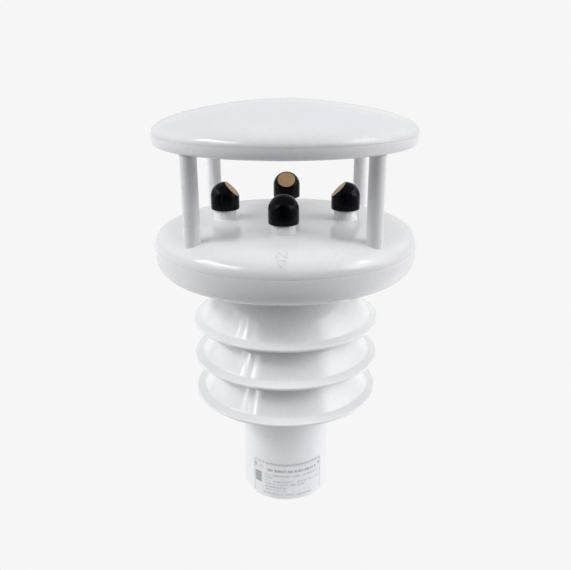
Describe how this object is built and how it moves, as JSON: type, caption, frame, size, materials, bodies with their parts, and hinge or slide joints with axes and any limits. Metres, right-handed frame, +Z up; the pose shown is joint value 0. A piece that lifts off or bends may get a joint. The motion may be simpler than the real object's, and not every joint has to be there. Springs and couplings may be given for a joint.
{
  "type": "compact ultrasonic weather station",
  "caption": "Compact ultrasonic weather station: a wind section between two round discs on posts, a stack of flared louvre plates below, and a tube foot that slips over a mast.",
  "frame": {"origin": "centre of the foot tube's bottom rim, which is also the bottom centre of the whole part", "axes": "+Z up along the instrument's axis; -Y is the front, with the north mark and the rating plate"},
  "size_m": [0.1408, 0.1408, 0.2269],
  "materials": {
    "white_housing": "gloss moulded white plastic",
    "white_post": "satin white plastic sleeve",
    "white_louvre": "high gloss moulded white plastic",
    "white_tube": "satin white plastic",
    "black_cap": "satin black moulded plastic",
    "transducer_face": "matt tan acoustic matching disc",
    "brass": "plain turned brass",
    "gold_pin": "gold plated contact",
    "seal_rubber": "black silicone rubber",
    "circuit_board": "green solder mask",
    "steel": "plain stainless steel",
    "dark_steel": "dark stainless steel",
    "connector_metal": "nickel plated",
    "black_insert": "black moulded insert",
    "probe_body": "matt white plastic",
    "probe_filter": "white sintered porous plastic",
    "cable_jacket": "black cable jacket",
    "label_film": "satin silver film"
  },
  "bodies": {
    "station": {"top_cover": "white_housing", "reflector_plate": "white_housing", "deck_shell": "white_housing", "deck_pan": "white_housing", "support_post_front_left": "white_post", "support_post_front_right": "white_post", "support_post_back_left": "white_post", "support_post_back_right": "white_post", "louvre_plate_bottom": "white_louvre", "louvre_plate_middle": "white_louvre", "louvre_plate_top": "white_louvre", "mount_tube": "white_tube", "transducer_cap_front": "black_cap", "transducer_cap_back": "black_cap", "transducer_cap_left": "black_cap", "transducer_cap_right": "black_cap", "transducer_face_front": "transducer_face", "transducer_face_back": "transducer_face", "transducer_face_left": "transducer_face", "transducer_face_right": "transducer_face", "transducer_nut_front": "brass", "transducer_nut_back": "brass", "transducer_nut_left": "brass", "transducer_nut_right": "brass", "connector_pin_1": "gold_pin", "connector_pin_2": "gold_pin", "connector_pin_3": "gold_pin", "connector_pin_4": "gold_pin", "top_gasket": "seal_rubber", "deck_gasket": "seal_rubber", "connector_seal": "seal_rubber", "main_board": "circuit_board", "tie_screw_front_left": "steel", "tie_screw_front_right": "steel", "tie_screw_back_left": "steel", "tie_screw_back_right": "steel", "pan_screw_front": "steel", "pan_screw_back": "steel", "pan_screw_left": "steel", "pan_screw_right": "steel", "board_screw_a": "steel", "board_screw_b": "steel", "board_screw_c": "steel", "board_screw_d": "steel", "shield_screw_a": "steel", "shield_screw_b": "steel", "shield_screw_c": "steel", "plate_screw_a": "steel", "plate_screw_b": "steel", "plate_screw_c": "steel", "connector_shell": "connector_metal", "connector_nut": "connector_metal", "connector_plate": "connector_metal", "connector_insert": "black_insert", "air_probe": "probe_body", "probe_filter": "probe_filter", "harness_cable": "cable_jacket", "rating_label": "label_film"},
    "right_set_screw": {"set_screw_right": "dark_steel"},
    "left_set_screw": {"set_screw_left": "dark_steel"}
  },
  "joints": [
    {"name": "right_set_screw_travel", "type": "slide", "parent": "station", "child": "right_set_screw", "axis": [-0.7071, -0.7071, 0], "range_m": [0, 0.0025]},
    {"name": "left_set_screw_travel", "type": "slide", "parent": "station", "child": "left_set_screw", "axis": [0.7071, -0.7071, 0], "range_m": [0, 0.0025]}
  ]
}
